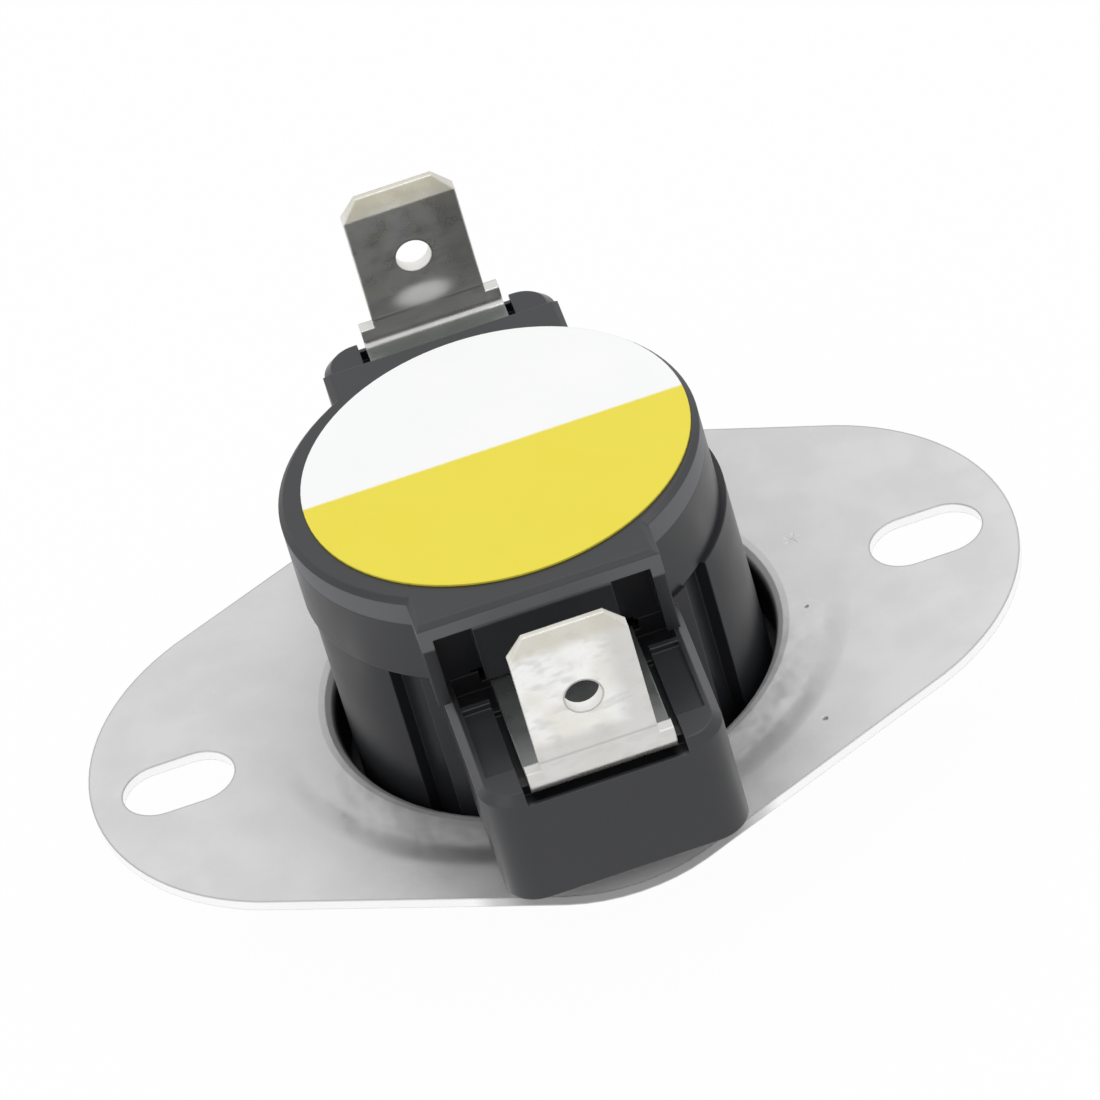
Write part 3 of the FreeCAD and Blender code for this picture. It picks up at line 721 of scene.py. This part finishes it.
# %% [markdown]
# ## Pin and guide
# The pin is fired ceramic, off-white and dry. The guide is brown moulding with a coarse grain.
# Both are dry to look at and differ in colour and grain, so one short function serves both.

# %% Pin and guide
def dry_material(name, dark, light, rough, grain_size, *covered):
    """Ceramic or moulding without gloss, with a grain of the given size in millimetres."""
    finish = Finish(name)
    grain = finish.noise(grain_size, detail=5)
    clouds = finish.noise(2.5, detail=3, seed=(4, 4, 1))
    finish.set(Base_Color=finish.mix(clouds, dark, light))
    finish.set(Roughness=finish.band(grain, 0.3, 0.7, rough, rough + 0.15))
    finish.relief(finish.times(grain, 0.01), edge=0.08)
    finish.cover(*covered)


dry_material("pin_ceramic", srgb(222, 216, 202), srgb(238, 234, 224), 0.55, 0.15, "transfer_pin")
dry_material("guide_moulding", srgb(62, 48, 38), srgb(88, 68, 54), 0.5, 0.25, "pin_guide")

# %% [markdown]
# ## Floor and backdrop
# The photo's ground is white, and almost no shadow is left on it. A studio would bleach it with
# extra lamps, and too much of that light would also fall on the object. In a render the rays
# can be told apart instead, with the Light Path node. Rays from the camera see the floor and
# the backdrop as white with a trace of the shadow, and mirror-like surfaces see plain white.
# The light that falls on the object keeps its own, lower level. The floor has one side only,
# so that the cup and the disc can be looked at from below.

# %% Floor and backdrop
FLOOR_SIZE = 1.2
FLOOR_GAP = 0.05
DOME_LIGHT = 0.72
SHADOW_SHARE = 0.03


def white_share(tree, camera_share):
    """How much plain white a ray sees: all of it by reflection, and a share of it in the camera."""
    rays = tree.nodes.new("ShaderNodeLightPath").outputs
    share = tree.nodes.new("ShaderNodeMath")
    share.operation = "MULTIPLY"
    share.inputs[1].default_value = camera_share
    tree.links.new(rays["Is Camera Ray"], share.inputs[0])
    value = share.outputs[0]
    for kind in ("Is Glossy Ray", "Is Transmission Ray"):
        larger = tree.nodes.new("ShaderNodeMath")
        larger.operation = "MAXIMUM"
        tree.links.new(value, larger.inputs[0])
        tree.links.new(rays[kind], larger.inputs[1])
        value = larger.outputs[0]
    return value


def floor():
    """A white sheet under the part, seen from above only."""
    level = cad_box[0][2] - FLOOR_GAP * MM
    bpy.ops.mesh.primitive_plane_add(size=FLOOR_SIZE, location=(0, 0, level))
    plane = bpy.context.object
    plane.name = "floor"
    finish = Finish("floor_paper")
    tooth = finish.noise(1.5, detail=3)
    finish.set(Base_Color=finish.mix(tooth, srgb(240, 240, 240), srgb(246, 246, 246)), Roughness=0.8)
    white = finish.add("ShaderNodeEmission", {"Color": (1, 1, 1, 1), "Strength": 1.0}).outputs[0]
    share = white_share(finish.tree, 1 - SHADOW_SHARE)
    paper = finish.shader.outputs[0]
    seen = finish.add("ShaderNodeMixShader", {0: share, 1: paper, 2: white}).outputs[0]
    back = finish.add("ShaderNodeNewGeometry").outputs["Backfacing"]
    clear = finish.add("ShaderNodeBsdfTransparent").outputs[0]
    one_sided = finish.add("ShaderNodeMixShader", {0: back, 1: seen, 2: clear}).outputs[0]
    finish.feed(finish.output.inputs["Surface"], one_sided)
    plane.data.materials.append(finish.material)


def backdrop():
    """An even dome of light that reflections and the camera see as plain white."""
    world = bpy.data.worlds.new("studio")
    bpy.context.scene.world = world
    world.use_nodes = True
    tree = world.node_tree
    tree.nodes.clear()
    strength = tree.nodes.new("ShaderNodeMapRange")
    strength.inputs["To Min"].default_value = DOME_LIGHT
    strength.inputs["To Max"].default_value = 1.0
    background = tree.nodes.new("ShaderNodeBackground")
    background.inputs["Color"].default_value = (1, 1, 1, 1)
    output = tree.nodes.new("ShaderNodeOutputWorld")
    tree.links.new(white_share(tree, 1.0), strength.inputs["Value"])
    tree.links.new(strength.outputs["Result"], background.inputs["Strength"])
    tree.links.new(background.outputs[0], output.inputs["Surface"])


floor()
backdrop()
print("floor", FLOOR_GAP, "mm below the part, dome at", DOME_LIGHT)

# %% [markdown]
# ## Lamps
# The photo's light is soft and even: no edge glares, and almost no shadow is cast. The dome
# alone would leave the forms flat, so two large soft boxes are added to it. The stronger one
# hangs high up, a little to the right and behind, and the weaker one fills in from the front
# left.

# %% Two soft boxes
def lamp(name, place, target, size, power):
    """A square soft box that looks at a target; places and size in millimetres, power in watts."""
    data = bpy.data.lights.new(name, "AREA")
    data.size = size * MM
    data.energy = power
    light = bpy.data.objects.new(name, data)
    bpy.context.collection.objects.link(light)
    facing = (Vector(target) - Vector(place)).to_track_quat("-Z", "Y")
    light.matrix_world = Matrix.Translation(Vector(place) * MM) @ facing.to_matrix().to_4x4()


lamp("key", (120, 60, 400), (0, 0, 8), 220, 0.42)
lamp("fill", (-220, -160, 260), (0, 0, 8), 260, 0.12)
print("lit, with", len(bpy.data.materials), "materials")
